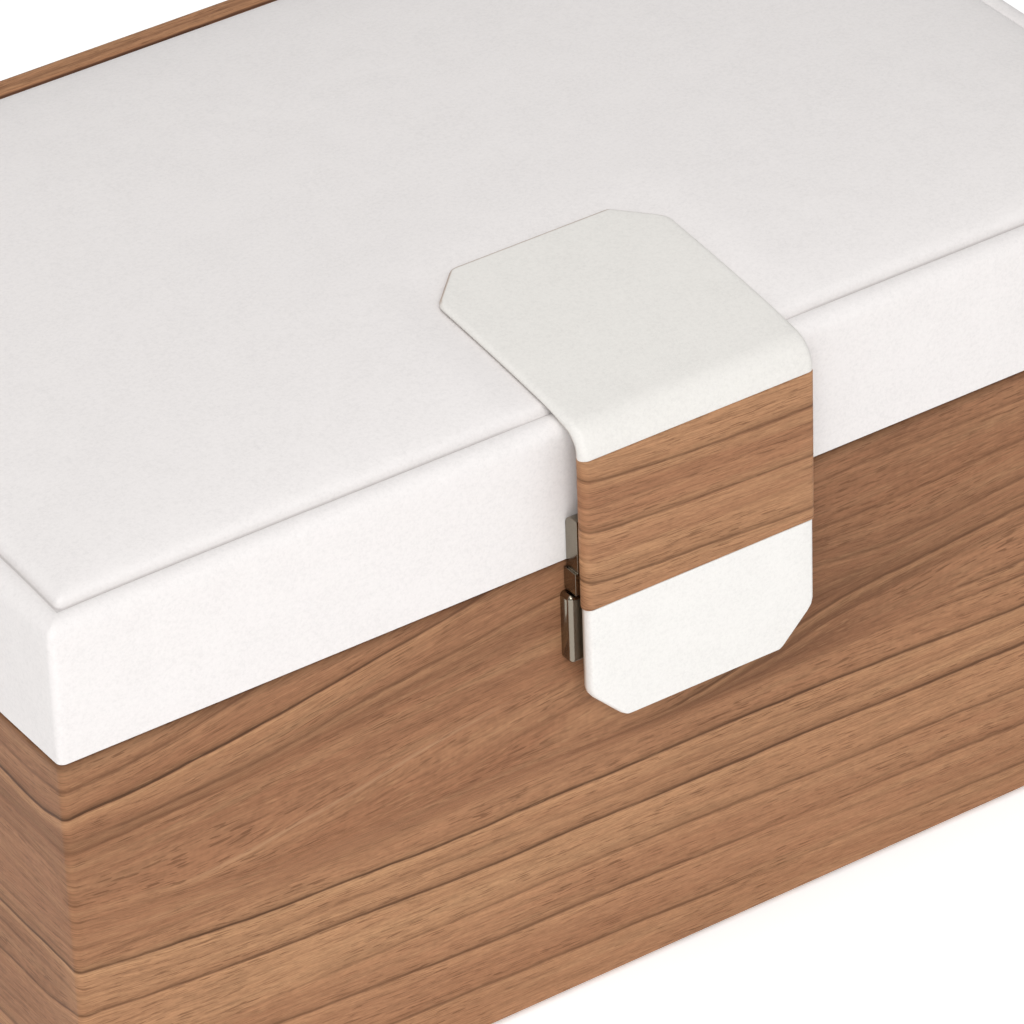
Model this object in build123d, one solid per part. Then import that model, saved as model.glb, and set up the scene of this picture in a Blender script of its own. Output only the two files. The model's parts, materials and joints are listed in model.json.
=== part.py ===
"""Cufflink display box: a walnut-finish case with a padded white lid, a snap-clasp strap and a lift-out tray.

Frame, in millimetres: origin at the centre of the underside, +X to the right, front towards -Y, +Z up.
Each piece is written to parts/NAME.step.
"""
from build123d import *
import math
import os

os.makedirs("parts", exist_ok=True)

# ---------------------------------------------------------------- driving dimensions
box_width = 226.0
box_depth = 141.0
base_height = 83.2  # walnut carcass, lower edge to rim
lid_height = 25.0  # lid side, lower edge to the border round the pad
seam_gap = 0.4  # between the rim and the lid's lower edge
wrap = 0.6  # decor foil and leatherette, glued to the boards
corner_radius = 3.0  # vertical corners, over the wrap
lid_edge_radius = 2.6  # top edges of the lid, over the wrap
base_board = 5.0
bottom_board = 4.0
felt = 1.0
felt_inset = 3.0

# lining of the base
liner = 2.0
liner_edge_radius = 0.7
collar_height = 4.0  # liner above the rim, which centres the lid
collar_clearance = 0.5
ledge = 2.5
floor_pad = 1.6
lower_divider = 2.5
lower_divider_height = 38.0
lower_columns = 3
divider_clearance = 0.2

# tray
tray_height = 30.0
tray_below_rim = 1.0
tray_clearance = 0.6
tray_board = 2.0
tray_wall = 2.5
tray_divider = 2.0
tray_columns = 5
tray_rows = 3
divider_below_wall = 1.5
cushion_height = 12.0
cushion_top_radius = 5.0
cushion_clearance = 0.3
cushion_slit = 0.4
tab_width = 16.0
tab_thickness = 0.8
tab_rise = 6.0  # lift tab above the tray's wall
tab_seat = 9.0  # glued height of the lift tab
tab_corner_radius = 4.0

# lid
lid_lining = 0.5
lid_top_board = 3.5
lid_inner_pad = 2.5
lid_inner_pad_radius = 1.0
spine_width = 5.5  # walnut rail along the rear of the lid's top
spine_rise = 0.9  # rail above the border
spine_edge_radius = 0.8
spine_gap = 0.2  # between the pad and the rail
pad_margin = 3.8
pad_corner_radius = 1.5
pad_board = 0.4
pad_shoulder = 0.1  # upright edge of the foam, under its bevel
pad_edge = 0.9  # pad height at its edge, before the crown
pad_crown = 4.3
pad_cover = 0.4
arch_overrun = 1.0  # crown's arc beyond the pad, so that no two faces coincide

# strap
strap_width = 44.0
strap_stand_off = 6.0  # front of the strap before the face of the box
strap_thickness = 2.7
strap_bend_radius = 5.0
strap_edge_radius = 1.2
strap_cover = 0.6
tab_reach = 39.5  # rear end of the top tab behind the face of the box
tab_chamfer = 9.0
tab_leather = 1.3
tab_clearance = 0.1
tab_lead = 0.4  # where the bend leaves the pad's curve, behind the pad's edge
flap_top = 21.0  # fold line above the lid's lower edge
flap_bottom = 29.3  # lower end below the lid's lower edge
flap_chamfer = 6.5
flap_corner_radius = 2.0
band_bottom = 6.6  # lower end of the walnut band below the lid's lower edge
fold_gap = 0.15

# snap clasp
hasp_sheet = 0.5
hasp_inset = 0.3  # hasp cheek inside the strap's edge
hasp_top = 8.7
hasp_step = 0.9  # where the skirt starts, below the lid's lower edge
hasp_skirt_flare = 0.5
hasp_face_gap = 0.15
hasp_top_radius = 1.7
clasp_gap = 0.5  # skirt to strike, room for the swing of the flap
strike_top = 5.4
strike_bottom = 18.1
strike_overhang = 1.0  # strike beyond the strap's edge
strike_stand_off = 2.6
strike_edge_radius = 0.8
tongue_width = 18.0
tongue_end = 20.5
snap_rib_radius = 0.6
snap_rib_drop = 1.5  # centre of the rib below the strike
rivet_radius = 0.8
rivet_head_radius = 1.5
rivet_head = 0.5
rivet_grip = 1.4  # shank inside the flap
rivet_clearance = 0.02
rivet_spacing = 28.0
rivet_height = 3.2

# stop hinges
hinge_width = 24.0
hinge_spacing = 124.0
leaf = 0.8
leaf_depth = 4.4
leaf_gap = 0.05
barrel_radius = 1.7
barrel_clearance = 0.1
pin_radius = 0.8
pin_fit = 0.02
pin_running_fit = 0.05
knuckle_gap = 0.15
mortise_clearance = 0.1
toe_length = 4.0
toe_thickness = 0.8
toe_clearance = 0.05
lid_stop_angle = 100.0
screw_head_radius = 1.4
screw_radius = 0.7
screw_length = 8.0
screw_head = 0.6
screw_clearance = 0.02
screw_spacing = 15.0

# ---------------------------------------------------------------- levels and planes
front = -box_depth / 2
back = box_depth / 2
wrap_z = felt
rim_z = wrap_z + base_height
lid_z = rim_z + seam_gap
border_z = lid_z + lid_height
floor_z = wrap_z + bottom_board
tray_top_z = rim_z - tray_below_rim
ledge_z = tray_top_z - tray_height
lid_board = base_board - lid_lining - collar_clearance
top_board_z = border_z - wrap - lid_top_board

carcass_inside = (box_width - 2 * (wrap + base_board), box_depth - 2 * (wrap + base_board))
liner_inside = (carcass_inside[0] - 2 * liner, carcass_inside[1] - 2 * liner)
ledge_inside = (liner_inside[0] - 2 * ledge, liner_inside[1] - 2 * ledge)
lid_inside = (box_width - 2 * (wrap + lid_board), box_depth - 2 * (wrap + lid_board))
tray_size = (liner_inside[0] - 2 * tray_clearance, liner_inside[1] - 2 * tray_clearance)
tray_inside = (tray_size[0] - 2 * tray_wall, tray_size[1] - 2 * tray_wall)


# ---------------------------------------------------------------- shape helpers
def block(x, y, z):
    """Box between the low and high values given for each axis."""
    size = [high - low for low, high in (x, y, z)]
    centre = [(high + low) / 2 for low, high in (x, y, z)]
    return Pos(*centre) * Box(*size)


def across(half):
    """Low and high value of a span centred on zero."""
    return (-half, half)


def rounded_prism(size, radius, z):
    """Upright prism on a centred rectangle with round corners."""
    return Pos(0, 0, z[0]) * extrude(RectangleRounded(size[0], size[1], radius), z[1] - z[0])


def ring_of_boards(outer, thickness, z):
    """Four boards inside a centred rectangle: front and back run through, the sides fit between them."""
    half_x, half_y = outer[0] / 2, outer[1] / 2
    inner_x, inner_y = half_x - thickness, half_y - thickness
    return {
        "front": block(across(half_x), (-half_y, -inner_y), z),
        "back": block(across(half_x), (inner_y, half_y), z),
        "left": block((-half_x, -inner_x), across(inner_y), z),
        "right": block((inner_x, half_x), across(inner_y), z),
    }


def x_prism(face, width):
    """Extrude a face drawn in (Y, Z) to both sides of X = 0."""
    return extrude(Plane.YZ * face, width / 2, both=True)


def top_edges(solid, axis):
    """Edges along an axis that lie on the highest face."""
    return solid.faces().sort_by(Axis.Z)[-1].edges().filter_by(axis)


pieces = {}


def keep(name, shape):
    pieces[name] = shape


# ---------------------------------------------------------------- stop hinges
axis_y = back + barrel_radius + barrel_clearance
axis_z = rim_z + seam_gap / 2
knuckle = hinge_width / 3
screw_y = back - wrap - base_board / 2


def along_x(radius, length, centre_x):
    """Cylinder on the hinge axis."""
    return Pos(centre_x, axis_y, axis_z) * Rot(0, 90, 0) * Cylinder(radius, length)


def leaf_plate(side):
    """Leaf in the seam, below the axis for the base (side -1) and above it for the lid (side 1)."""
    near, far = axis_z + side * leaf_gap, axis_z + side * (leaf_gap + leaf)
    return block(across(hinge_width / 2), (back - leaf_depth, axis_y), (min(near, far), max(near, far)))


def mortise(side):
    """Room for a leaf in the edge of its board, open towards the seam and the back."""
    half = hinge_width / 2 + mortise_clearance
    far = axis_z + side * (leaf_gap + leaf)
    z = (min(axis_z, far), max(axis_z, far))
    pocket = block(across(half), (back - leaf_depth - mortise_clearance, back + barrel_radius), z)
    return [Pos(x, 0, 0) * pocket for x in across(hinge_spacing / 2)]


def screws(side, clearance=0.0):
    """Countersunk screws of both leaves of one side, their heads flush with the leaf."""
    screw = Pos(0, 0, -screw_head / 2) * Cone(
        screw_radius + clearance, screw_head_radius + clearance, screw_head
    )
    screw += Pos(0, 0, -screw_length / 2) * Cylinder(screw_radius + clearance, screw_length)
    upright = Rot(180, 0, 0) if side > 0 else Rot(0, 0, 0)
    z = axis_z + side * leaf_gap
    places = [hinge + x for hinge in across(hinge_spacing / 2) for x in across(screw_spacing / 2)]
    return [Pos(x, screw_y, z) * upright * screw for x in places]


def stop_toe():
    """Heel of the lid's knuckle, which lies against the back of the base when the lid is fully open."""
    low = barrel_radius + barrel_clearance - toe_clearance
    toe = block(across(knuckle / 2 - knuckle_gap), (0, toe_length), (-low, toe_thickness - low))
    return Pos(0, axis_y, axis_z) * Rot(lid_stop_angle - 90, 0, 0) * toe


def base_leaf():
    height = across(2 * barrel_radius)
    room = block(across(knuckle / 2), (back, axis_y + 2 * barrel_radius), height)
    body = leaf_plate(-1) + along_x(barrel_radius, hinge_width, 0) - Pos(0, 0, axis_z) * room
    return body - along_x(pin_radius + pin_fit, hinge_width, 0)


def lid_leaf():
    length = knuckle - 2 * knuckle_gap
    body = leaf_plate(1)
    for x in (-knuckle, knuckle):
        body -= along_x(barrel_radius + knuckle_gap, knuckle, x)
    body += along_x(barrel_radius, length, 0) + stop_toe()
    return body - along_x(pin_radius + pin_running_fit, hinge_width, 0)


def make_hinges():
    base_holes = screws(-1, screw_clearance)
    lid_holes = screws(1, screw_clearance)
    for side, x in (("left", -hinge_spacing / 2), ("right", hinge_spacing / 2)):
        keep(f"hinge_base_leaf_{side}", Pos(x, 0, 0) * base_leaf() - base_holes)
        keep(f"hinge_lid_leaf_{side}", Pos(x, 0, 0) * lid_leaf() - lid_holes)
    pins = [along_x(pin_radius, hinge_width, x) for x in across(hinge_spacing / 2)]
    keep("hinge_pins", Compound(pins))
    keep("hinge_base_screws", Compound(screws(-1)))
    keep("hinge_lid_screws", Compound(screws(1)))


# ---------------------------------------------------------------- base
def make_carcass():
    boards = (box_width - 2 * wrap, box_depth - 2 * wrap)
    z = (wrap_z + wrap, rim_z - wrap)
    rounded = rounded_prism(boards, corner_radius - wrap, z)
    for side, board in ring_of_boards(boards, base_board, z).items():
        board = board & rounded if side in ("front", "back") else board
        if side == "back":
            board = board - mortise(-1) - screws(-1, screw_clearance)
        keep(f"base_{side}_panel", board)
    inside = (across(carcass_inside[0] / 2), across(carcass_inside[1] / 2))
    keep("base_bottom_panel", block(*inside, (wrap_z, floor_z)))
    foil = rounded_prism((box_width, box_depth), corner_radius, (wrap_z, rim_z)) - rounded
    foil = foil - block(*inside, (wrap_z, rim_z)) - mortise(-1)
    keep("base_walnut_wrap", foil)
    sole = (box_width - 2 * felt_inset, box_depth - 2 * felt_inset)
    keep("base_felt", rounded_prism(sole, corner_radius, (0, felt)))


def make_lining():
    for side, board in ring_of_boards(carcass_inside, liner, (floor_z, rim_z + collar_height)).items():
        along = Axis.X if side in ("front", "back") else Axis.Y
        keep(f"liner_{side}", fillet(top_edges(board, along), liner_edge_radius))
    for side, board in ring_of_boards(liner_inside, ledge, (floor_z, ledge_z)).items():
        keep(f"ledge_{side}", board)
    half_x = ledge_inside[0] / 2 - divider_clearance
    half_y = ledge_inside[1] / 2 - divider_clearance
    keep("base_floor_pad", block(across(half_x), across(half_y), (floor_z, floor_z + floor_pad)))


def slotted(board, places, half_slot, z, along):
    """Cut halving slots of the given height into a board, at places along X or Y."""
    for place in places:
        span, full = across(half_slot), across(box_width)
        slot = block(span, full, z) if along == "x" else block(full, span, z)
        board -= Pos(place, 0, 0) * slot if along == "x" else Pos(0, place, 0) * slot
    return board


def spread(count, inside, divider):
    """Centres of the dividers that part a span into equal cells."""
    pitch = (inside + divider) / count
    return [(index + 1) * pitch - (inside + divider) / 2 for index in range(count - 1)]


def make_lower_dividers():
    low = floor_z + floor_pad
    high = low + lower_divider_height
    middle = (low + high) / 2
    half_x = ledge_inside[0] / 2 - divider_clearance
    half_y = ledge_inside[1] / 2 - divider_clearance
    half = lower_divider / 2
    half_slot = half + divider_clearance / 2
    places = spread(lower_columns, ledge_inside[0], lower_divider)
    long = block(across(half_x), across(half), (low, high))
    keep("lower_divider_long", slotted(long, places, half_slot, (middle, high), "x"))
    for index, x in enumerate(places, 1):
        cross = block((x - half, x + half), across(half_y), (low, high))
        keep(f"lower_divider_cross_{index}", slotted(cross, [0], half_slot, (low, middle), "y"))


# ---------------------------------------------------------------- tray
def half_roll(width, depth):
    """One half of a slit cushion: a soft block with a round top, standing on Z = 0."""
    outline = Pos(0, cushion_height / 2) * Rectangle(depth, cushion_height)
    crown = outline.vertices().group_by(Axis.Y)[-1]
    return x_prism(fillet(crown, min(cushion_top_radius, depth * 0.4)), width)


def make_cushions():
    columns = spread(tray_columns, tray_inside[0], tray_divider)
    rows = spread(tray_rows, tray_inside[1], tray_divider)
    pitch_x = (tray_inside[0] + tray_divider) / tray_columns
    pitch_y = (tray_inside[1] + tray_divider) / tray_rows
    width = pitch_x - tray_divider - 2 * cushion_clearance
    depth = (pitch_y - tray_divider - 2 * cushion_clearance - cushion_slit) / 2
    roll = half_roll(width, depth)
    floor = ledge_z + tray_board
    rolls = []
    for x in [columns[0] - pitch_x / 2] + [place + pitch_x / 2 for place in columns]:
        for y in [rows[0] - pitch_y / 2] + [place + pitch_y / 2 for place in rows]:
            for side in (-1, 1):
                rolls.append(Pos(x, y + side * (depth + cushion_slit) / 2, floor) * roll)
    keep("tray_cushions", Compound(rolls))


def lift_tab(side):
    """Leatherette pull glued to the inner face of the tray's left (-1) or right (1) wall."""
    outline = RectangleRounded(tab_width, tab_seat + tab_rise + tab_corner_radius, tab_corner_radius)
    outline = outline & Pos(0, tab_corner_radius / 2) * Rectangle(tab_width, tab_seat + tab_rise)
    plate = extrude(Plane.YZ * outline, tab_thickness / 2, both=True)
    x = side * (tray_inside[0] / 2 - tab_thickness / 2)
    z = tray_top_z + (tab_rise - tab_seat) / 2 - tab_corner_radius / 2
    return Pos(x, 0, z) * plate


def make_tray():
    keep("tray_base", block(across(tray_size[0] / 2), across(tray_size[1] / 2), (ledge_z, ledge_z + tray_board)))
    floor = ledge_z + tray_board
    for side, board in ring_of_boards(tray_size, tray_wall, (floor, tray_top_z)).items():
        along = Axis.X if side in ("front", "back") else Axis.Y
        keep(f"tray_{side}_wall", fillet(top_edges(board, along), liner_edge_radius))
    top = tray_top_z - divider_below_wall
    middle = (floor + top) / 2
    half = tray_divider / 2
    half_slot = half + divider_clearance / 2
    columns = spread(tray_columns, tray_inside[0], tray_divider)
    rows = spread(tray_rows, tray_inside[1], tray_divider)
    half_x = tray_inside[0] / 2 - divider_clearance
    half_y = tray_inside[1] / 2 - divider_clearance
    for index, y in enumerate(rows, 1):
        long = block(across(half_x), (y - half, y + half), (floor, top))
        keep(f"tray_divider_long_{index}", slotted(long, columns, half_slot, (middle, top), "x"))
    for index, x in enumerate(columns, 1):
        cross = block((x - half, x + half), across(half_y), (floor, top))
        keep(f"tray_divider_cross_{index}", slotted(cross, rows, half_slot, (floor, middle), "y"))
    make_cushions()
    keep("tray_lift_tabs", Compound([lift_tab(-1), lift_tab(1)]))


# ---------------------------------------------------------------- lid
pad_margin_back = spine_width + spine_gap
pad_size = (box_width - 2 * pad_margin, box_depth - pad_margin - pad_margin_back)
pad_y = (pad_margin - pad_margin_back) / 2


def arch_radius(span):
    """Radius of the crown's arc over a span."""
    return ((span / 2) ** 2 + pad_crown**2) / (2 * pad_crown)


def arch(span, length, z):
    """Prism along Y under the crown's arc, which is z[1] high at the ends of the span and runs past them."""
    half = span / 2 + arch_overrun
    radius = arch_radius(span)
    side_z = z[1] + pad_crown - radius + math.sqrt(radius**2 - half**2)
    outline = Polyline((half, side_z), (half, z[0]), (-half, z[0]), (-half, side_z))
    crown = ThreePointArc((-half, side_z), (0, z[1] + pad_crown), (half, side_z))
    return extrude(Plane.XZ * make_face(outline + crown), length / 2, both=True)


def crowned_pad(inset, low, drop):
    """Pad with bevelled edges under two crossing arcs. Inset and drop make the foam inside its cover."""
    size = (pad_size[0] - 2 * inset, pad_size[1] - 2 * inset)
    edge = border_z + pad_edge - drop
    plan = RectangleRounded(size[0], size[1], pad_corner_radius - inset)
    shoulder = border_z + pad_shoulder + pad_cover - drop
    pad = Pos(0, 0, low) * extrude(plan, shoulder - low)
    pad += Pos(0, 0, shoulder) * extrude(plan, pad_edge + pad_crown, taper=45)
    pad &= arch(pad_size[0], 2 * box_depth, (low, edge))
    pad &= Rot(0, 0, 90) * arch(pad_size[1], 2 * box_width, (low, edge))
    return Pos(0, pad_y, 0) * pad


def make_lid_shell():
    boards = (box_width - 2 * wrap, box_depth - 2 * wrap)
    plan = rounded_prism(boards, corner_radius - wrap, (lid_z + wrap, border_z - wrap))
    core = fillet(plan.faces().sort_by(Axis.Z)[-1].edges(), lid_edge_radius - wrap)
    inside = (across(lid_inside[0] / 2), across(lid_inside[1] / 2))
    keep("lid_top_board", core & block(across(box_width), across(box_depth), (top_board_z, border_z)))
    for side, board in ring_of_boards(boards, lid_board, (lid_z + wrap, top_board_z)).items():
        board = board & plan if side in ("front", "back") else board
        if side == "back":
            board = board - mortise(1) - screws(1, screw_clearance)
        keep(f"lid_{side}_wall", board)
    room = core + block(*inside, (lid_z, top_board_z)) + mortise(1)
    skin = rounded_prism((box_width, box_depth), corner_radius, (lid_z, border_z))
    skin = fillet(skin.faces().sort_by(Axis.Z)[-1].edges(), lid_edge_radius) - room
    high_z = border_z + spine_rise
    rear = block(across(box_width), (back - spine_width, box_depth), (lid_z, high_z))
    spine = rounded_prism((box_width, box_depth), corner_radius, (lid_z, high_z)) & rear
    spine = fillet(spine.faces().sort_by(Axis.Z)[-1].edges(), spine_edge_radius)
    keep("lid_walnut_spine", spine - room)
    keep("lid_leatherette_wrap", skin - rear)


def make_lid_pads():
    foam_z = border_z + pad_board
    board_plan = (pad_size[0] - 2 * pad_cover, pad_size[1] - 2 * pad_cover)
    card = rounded_prism(board_plan, pad_corner_radius - pad_cover, (border_z, foam_z))
    card = Pos(0, pad_y, 0) * card
    foam = crowned_pad(pad_cover, border_z, pad_cover) - card
    keep("lid_pad_board", card)
    keep("lid_pad_foam", foam)
    keep("lid_pad_cover", crowned_pad(0, border_z, 0) - foam - card)
    walls_z = (lid_z + wrap, top_board_z)
    half_x, half_y = lid_inside[0] / 2, lid_inside[1] / 2
    hollow = block(across(half_x - lid_lining), across(half_y - lid_lining), walls_z)
    keep("lid_lining_walls", block(across(half_x), across(half_y), walls_z) - hollow)
    half_x, half_y = half_x - lid_lining, half_y - lid_lining
    panel = block(across(half_x), across(half_y), (top_board_z - lid_inner_pad, top_board_z))
    keep("lid_lining_panel", fillet(panel.faces().sort_by(Axis.Z)[0].edges(), lid_inner_pad_radius))


# ---------------------------------------------------------------- strap and snap clasp
strap_front = front - strap_stand_off
strap_rear = strap_front + strap_thickness
fold_z = lid_z + flap_top


def pad_top(y):
    """Height of the pad's crown over the middle of the box, followed past its edge."""
    radius = arch_radius(pad_size[1])
    centre = border_z + pad_edge + pad_crown - radius
    return centre + math.sqrt(radius**2 - (y - pad_y) ** 2)


def make_strap_tab():
    lead_y = front + pad_margin + tab_lead
    slope = (pad_top(lead_y + 1) - pad_top(lead_y - 1)) / 2
    under = pad_top(lead_y) + tab_clearance
    over = under + tab_leather
    corner_z = over - slope * (lead_y - strap_front)
    inner_z = under - slope * (lead_y - strap_rear)
    bend = Polyline(
        (lead_y, over),
        (strap_front, corner_z),
        (strap_front, fold_z),
        (strap_rear, fold_z),
        (strap_rear, inner_z),
        (lead_y, under),
        close=True,
    )
    bend = make_face(bend)
    outer = bend.vertices().sort_by_distance((strap_front, corner_z, 0))[0]
    bend = fillet(outer, strap_bend_radius)
    inner = bend.vertices().sort_by_distance((strap_rear, inner_z, 0))[0]
    bend = x_prism(fillet(inner, strap_bend_radius - strap_thickness), strap_width)
    sole = Rot(0, 0, 90) * arch(pad_size[1], 2 * strap_width, (border_z - pad_crown, border_z + pad_edge))
    sole = Pos(0, pad_y, tab_clearance) * sole
    leather = Pos(0, 0, tab_leather) * sole - sole
    leather &= block(across(strap_width / 2), (lead_y, 0), (border_z, border_z + 2 * pad_crown))
    end_y = front + tab_reach
    half = strap_width / 2
    plan = Polyline(
        (-half, strap_front),
        (half, strap_front),
        (half, end_y - tab_chamfer),
        (half - tab_chamfer, end_y),
        (tab_chamfer - half, end_y),
        (-half, end_y - tab_chamfer),
        close=True,
    )
    outline = Pos(0, 0, fold_z) * extrude(make_face(plan), lid_height)
    keep("strap_tab", (bend + leather) & outline)


def flap_outline(inset):
    """Front view of the flap, drawn in (X, Z), with its lower corners cut off."""
    half, low, high = strap_width / 2 - inset, lid_z - flap_bottom + inset, fold_z - fold_gap
    cut = flap_chamfer - inset * (2 - math.sqrt(2))
    outline = Polyline(
        (-half, high),
        (half, high),
        (half, low + cut),
        (half - cut, low),
        (cut - half, low),
        (-half, low + cut),
        close=True,
    )
    face = make_face(outline)
    corners = face.vertices().sort_by(Axis.Y)[:4]
    return fillet(corners, flap_corner_radius)


def y_prism(face, y):
    """Extrude a face drawn in (X, Z) from the low to the high Y."""
    return Pos(0, y[1], 0) * extrude(Plane.XZ * face, y[1] - y[0])


hasp_half = strap_width / 2 - hasp_inset
hasp_y = (strap_rear, front - hasp_face_gap)
hasp_inner_y = strap_rear + hasp_sheet
skirt_z = lid_z - strike_top + clasp_gap
strike_front = front - strike_stand_off


def along_y(radius, y, x, z):
    """Cylinder between two values of Y."""
    return Pos(x, (y[0] + y[1]) / 2, z) * Rot(90, 0, 0) * Cylinder(radius, y[1] - y[0])


def rivets(clearance=0.0):
    """Rivets through the hasp into the flap's core, their heads inside the hasp."""
    shank_y = (strap_rear - rivet_grip, hasp_inner_y + rivet_head / 2)
    head_y = (hasp_inner_y, hasp_inner_y + rivet_head)
    places = [(x, lid_z + rivet_height) for x in across(rivet_spacing / 2)]
    shanks = [along_y(rivet_radius + clearance, shank_y, x, z) for x, z in places]
    heads = [along_y(rivet_head_radius, head_y, x, z) for x, z in places]
    return shanks, heads


def make_flap():
    holes, _ = rivets(rivet_clearance)
    top = fold_z - fold_gap
    body = y_prism(flap_outline(0), (strap_front, strap_rear))
    faces = body.faces().filter_by(Axis.Y)
    rims = [edge for edge in faces.edges() if edge.center().Z < top - fold_gap]
    body = fillet(rims, strap_edge_radius)
    core = y_prism(flap_outline(strap_cover), (strap_front + strap_cover, strap_rear - strap_cover))
    above = block(across(box_width), (2 * front, 0), (lid_z - band_bottom, border_z))
    cover = body - core
    keep("flap_core", core - holes)
    keep("flap_walnut_band", (cover & above) - holes)
    keep("flap_lower_cover", cover - above)


def hasp_cup(half, z, sheet):
    """Outside (sheet 0) or inside of the hasp's housing, with its top edge rounded towards the lid."""
    cup = block(across(half - sheet), (hasp_y[0] + sheet, hasp_y[1]), (z[0], z[1] - sheet))
    rear = cup.edges().filter_by(Axis.X).group_by(Axis.Z)[-1].sort_by(Axis.Y)[-1]
    return fillet(rear, hasp_top_radius - sheet)


def make_clasp():
    step_z = lid_z - hasp_step
    housing = hasp_cup(hasp_half, (skirt_z, lid_z + hasp_top), 0)
    skirt_half = hasp_half + hasp_skirt_flare
    housing += block(across(skirt_half), hasp_y, (skirt_z, step_z))
    housing -= hasp_cup(hasp_half, (skirt_z, lid_z + hasp_top), hasp_sheet)
    hollow_y = (hasp_inner_y, hasp_y[1])
    housing -= block(across(skirt_half - hasp_sheet), hollow_y, (skirt_z, step_z - hasp_sheet))
    tongue_z = (lid_z - tongue_end, skirt_z)
    housing += block(across(tongue_width / 2), (strap_rear, hasp_inner_y), tongue_z)
    rib_z = lid_z - strike_bottom - snap_rib_drop
    rib = Pos(0, strike_front - snap_rib_radius, rib_z) * Rot(0, 90, 0) * Cylinder(snap_rib_radius, tongue_width)
    rib &= block(across(tongue_width), (strap_rear, front), (rib_z - strap_width, rib_z + strap_width))
    holes, _ = rivets(rivet_clearance)
    keep("clasp_hasp", housing + rib - holes)
    shanks, heads = rivets()
    keep("hasp_rivets", Compound([shank + head for shank, head in zip(shanks, heads)]))
    strike_z = (lid_z - strike_bottom, lid_z - strike_top)
    strike = block(across(strap_width / 2 + strike_overhang), (strike_front, front), strike_z)
    face = strike.faces().sort_by(Axis.Y)[0]
    edges = face.edges() + (strike.edges().filter_by(Axis.Y))
    keep("clasp_strike", fillet(edges, strike_edge_radius))


make_hinges()
make_carcass()
make_lining()
make_lower_dividers()
make_tray()
make_lid_shell()
make_lid_pads()
make_strap_tab()
make_flap()
make_clasp()

for name, shape in pieces.items():
    export_step(shape, f"parts/{name}.step")
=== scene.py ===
"""Looks of the cufflink display box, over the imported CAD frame.

Lengths are in millimetres in the code and become metres where a mesh is made.
"""

import itertools
import json
import math

import bmesh
import bpy
import numpy as np
from mathutils import Matrix, Vector, noise


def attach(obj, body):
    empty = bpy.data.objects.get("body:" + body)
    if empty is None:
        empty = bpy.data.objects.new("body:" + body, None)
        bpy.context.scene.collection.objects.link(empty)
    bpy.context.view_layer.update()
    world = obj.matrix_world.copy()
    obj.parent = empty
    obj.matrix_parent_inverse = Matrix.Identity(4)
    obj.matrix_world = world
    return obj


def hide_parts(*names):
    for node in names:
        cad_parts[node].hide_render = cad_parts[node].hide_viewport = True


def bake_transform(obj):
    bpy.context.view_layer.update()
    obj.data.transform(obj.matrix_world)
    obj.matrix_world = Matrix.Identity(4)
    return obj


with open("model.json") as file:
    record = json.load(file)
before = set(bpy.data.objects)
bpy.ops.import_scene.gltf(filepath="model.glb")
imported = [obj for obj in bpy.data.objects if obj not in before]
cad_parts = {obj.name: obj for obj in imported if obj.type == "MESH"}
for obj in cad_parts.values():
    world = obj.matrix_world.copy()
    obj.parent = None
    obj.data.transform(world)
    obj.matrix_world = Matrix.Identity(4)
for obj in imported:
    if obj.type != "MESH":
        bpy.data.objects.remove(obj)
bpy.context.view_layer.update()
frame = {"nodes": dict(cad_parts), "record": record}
MM = 0.001

# ---------------------------------------------------------------- levels and sizes
# As in the CAD, but for small steps towards the photograph in CORNER, PAD_SIZE, PAD_Y, RAIL_Y and TAB_END_Y.
WIDTH, DEPTH = 226.0, 141.0
FRONT, BACK = -DEPTH / 2, DEPTH / 2
WRAP_Z, RIM_Z, LID_Z, BORDER_Z = 1.0, 84.2, 84.6, 109.6
CORNER, LID_EDGE, SKIN = 1.3, 2.6, 0.6
PAD_SIZE, PAD_Y, PAD_INSET = (218.4, 132.2), -0.6, 3.8
RAIL_Y, RAIL_RISE, RAIL_EDGE = 65.7, 0.9, 0.8
TURN_IN = 4.6  # skins turned in under the lid's lower edge
STRAP_FRONT, STRAP_T, STRAP_HALF, STRAP_BEND = -76.5, 2.7, 22.0, 5.0
FOLD_Z, BAND_Z, STRAP_END_Z, TAB_END_Y = 105.6, 78.0, 55.3, -30.4
TAB_T, TAB_THICKENS = 1.3, 1.4  # tab on the pad, and how much thicker it gets over the bend
PAD_EDGE, PAD_CROWN = 0.9, 4.3  # the CAD pad's height above the border at its edge, and how much it rises from there
TRAY_INSIDE, COLUMNS, ROWS, WALL = (204.6, 119.6), 5, 3, 2.0
CUSHION, CUSHION_Z, SLIT = (38.72, 18.77, 11.5), 55.2, 0.4
LINING_HALF, LINING_Z = (107.9, 65.4), (103.0, 105.5)
PAINTED_GROOVE_SHADE, CORE_AND_CONTACT_SHADE = "painted_groove_shade", "core_and_contact_shade"  # mesh attributes that the leatherettes read: painted shade deep in the groove round the pad, and the brown core of cut edges with painted contact shade


# ---------------------------------------------------------------- meshes
def linked(name, data):
    """New object of the scene."""
    made = bpy.data.objects.new(name, data)
    bpy.context.scene.collection.objects.link(made)
    return made


def piece(name, points, faces, body=None, slot=None, stands_for=(), sharp=38.0):
    """New smooth object from points in millimetres, with its outside facing out, in its slot's material."""
    mesh = bpy.data.meshes.new(name)
    mesh.from_pydata([[c * MM for c in p] for p in points], [], faces)
    work = bmesh.new()
    work.from_mesh(mesh)
    bmesh.ops.recalc_face_normals(work, faces=work.faces)
    work.to_mesh(mesh)
    work.free()
    mesh.shade_smooth()
    mesh.set_sharp_from_angle(angle=math.radians(sharp))
    made = linked(name, mesh)
    if stands_for:
        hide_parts(*stands_for)
    if slot:
        paint(made, slot)
    if body:
        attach(made, body)
    return made


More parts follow.
